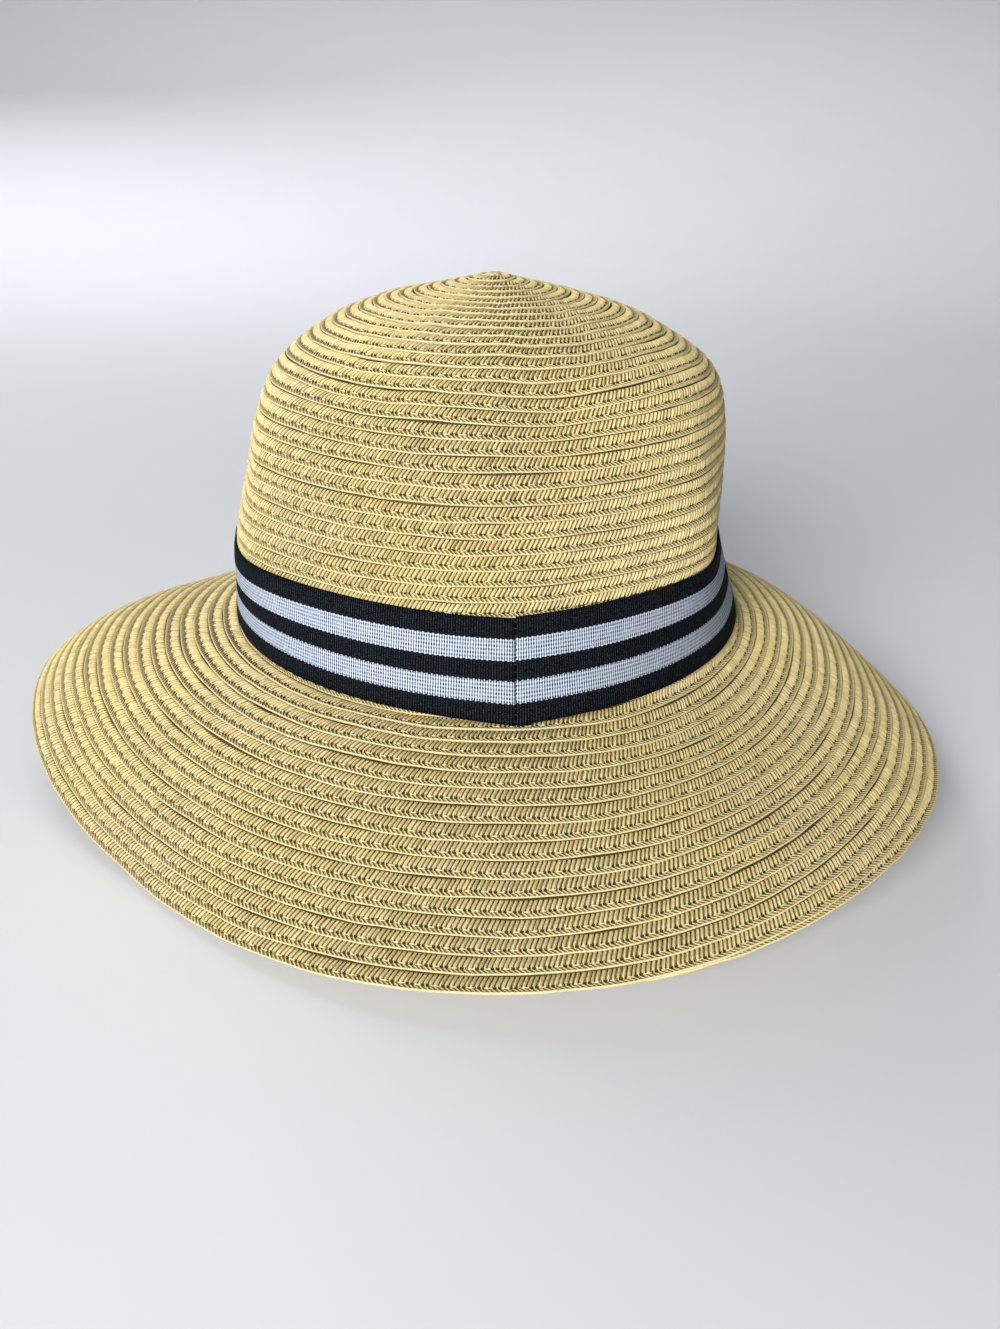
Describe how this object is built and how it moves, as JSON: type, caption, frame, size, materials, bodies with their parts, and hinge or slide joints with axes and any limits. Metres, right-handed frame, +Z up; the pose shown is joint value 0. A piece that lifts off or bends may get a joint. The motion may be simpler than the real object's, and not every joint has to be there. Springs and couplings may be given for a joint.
{
  "type": "wide-brim sun hat",
  "caption": "Straw sun hat with a round soft crown, a wide wavy brim that droops, and a striped ribbon band round the foot of the crown.",
  "frame": {"origin": "middle of the hat's box seen from above, at the height of the rim's lowest points, where it stands", "axes": "+Z up through the crown, -Y to the front, +X to the wearer's left, which is the right of the front view"},
  "size_m": [0.3322, 0.3282, 0.1652],
  "materials": {
    "straw": "matt, sewn paper-straw braid",
    "ribbon": "matt, woven grosgrain with black and white stripes"
  },
  "bodies": {
    "root": {"crown": "straw", "brim": "straw", "ribbon_band": "ribbon"}
  },
  "joints": []
}
